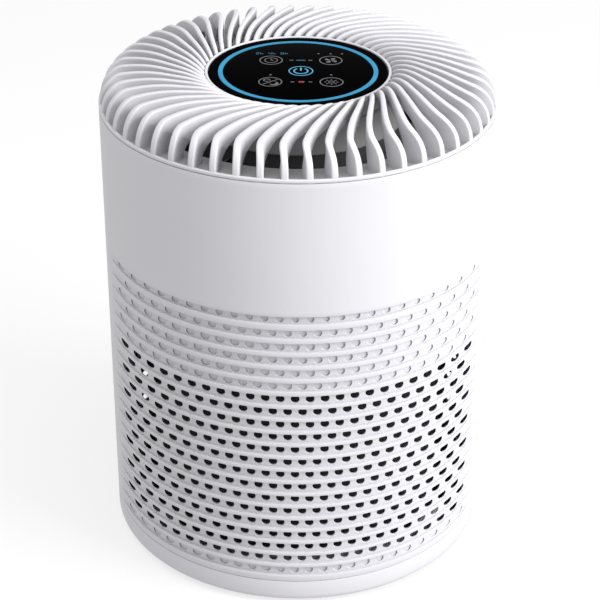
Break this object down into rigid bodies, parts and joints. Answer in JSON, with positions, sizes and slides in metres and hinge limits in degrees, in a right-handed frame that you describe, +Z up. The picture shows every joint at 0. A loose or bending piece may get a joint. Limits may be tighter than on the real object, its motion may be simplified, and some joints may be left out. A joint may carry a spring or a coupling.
{
  "type": "air purifier",
  "caption": "Cylindrical desktop air purifier: perforated drum, ring filter, radial fan, swirled top outlet grille round a touch panel, twist-off base.",
  "frame": {"origin": "centre of the drum's axis at the height the feet stand on", "axes": "+Z up along the drum's and the fan's axis, front faces -Y, power inlet at +Y"},
  "size_m": [0.22, 0.22, 0.2875],
  "materials": {
    "white_plastic": "fine matt moulding",
    "grey_plastic": "matt",
    "black_plastic": "matt",
    "black_glass": "gloss, opaque black",
    "light_guide": "satin, lit blue",
    "steel": "bright",
    "motor_steel": "wound laminations",
    "circuit_board": "satin",
    "filter_media": "matt pleated nonwoven",
    "carbon_felt": "matt felt",
    "filter_mesh": "fine net",
    "gasket_foam": "matt foam",
    "rubber": "matt",
    "pull_tab": "woven",
    "uv_lens": "gloss"
  },
  "bodies": {
    "housing": {"bearing_lower": "steel", "bearing_upper": "steel", "board_screw_1": "steel", "board_screw_2": "steel", "board_screw_3": "steel", "body_shell": "white_plastic", "carbon_layer": "carbon_felt", "control_board": "circuit_board", "deck_screw_1": "steel", "deck_screw_2": "steel", "deck_screw_3": "steel", "deck_screw_4": "steel", "driver_board": "circuit_board", "fan_housing": "black_plastic", "filter_bottom_cap": "black_plastic", "filter_core": "filter_mesh", "filter_gasket": "gasket_foam", "filter_media": "filter_media", "filter_mesh": "filter_mesh", "filter_pull_tab": "pull_tab", "filter_top_cap": "black_plastic", "inlet_guard": "black_plastic", "inlet_ring": "black_plastic", "light_ring": "light_guide", "motor_bracket": "black_plastic", "motor_cover": "grey_plastic", "motor_screw_1": "steel", "motor_screw_2": "steel", "motor_screw_3": "steel", "motor_stator": "motor_steel", "panel_cup": "black_plastic", "panel_glass": "black_glass", "power_inlet": "black_plastic", "top_grille": "white_plastic", "uv_board": "circuit_board", "uv_lamp": "uv_lens"},
    "fan": {"impeller": "grey_plastic", "rotor_can": "steel", "rotor_magnet": "black_plastic", "motor_shaft": "steel", "impeller_nut": "steel"},
    "cover": {"base_cover": "white_plastic", "rubber_foot_1": "rubber", "rubber_foot_2": "rubber", "rubber_foot_3": "rubber", "rubber_foot_4": "rubber"}
  },
  "joints": [
    {"name": "fan_spin", "type": "hinge", "parent": "housing", "child": "fan", "pos_m": [0, 0, 0.212], "axis": [0, 0, 1], "continuous": true},
    {"name": "cover_twist", "type": "hinge", "parent": "housing", "child": "cover", "pos_m": [0, 0, 0.0205], "axis": [0, 0, -1], "range_deg": [0, 30]}
  ]
}
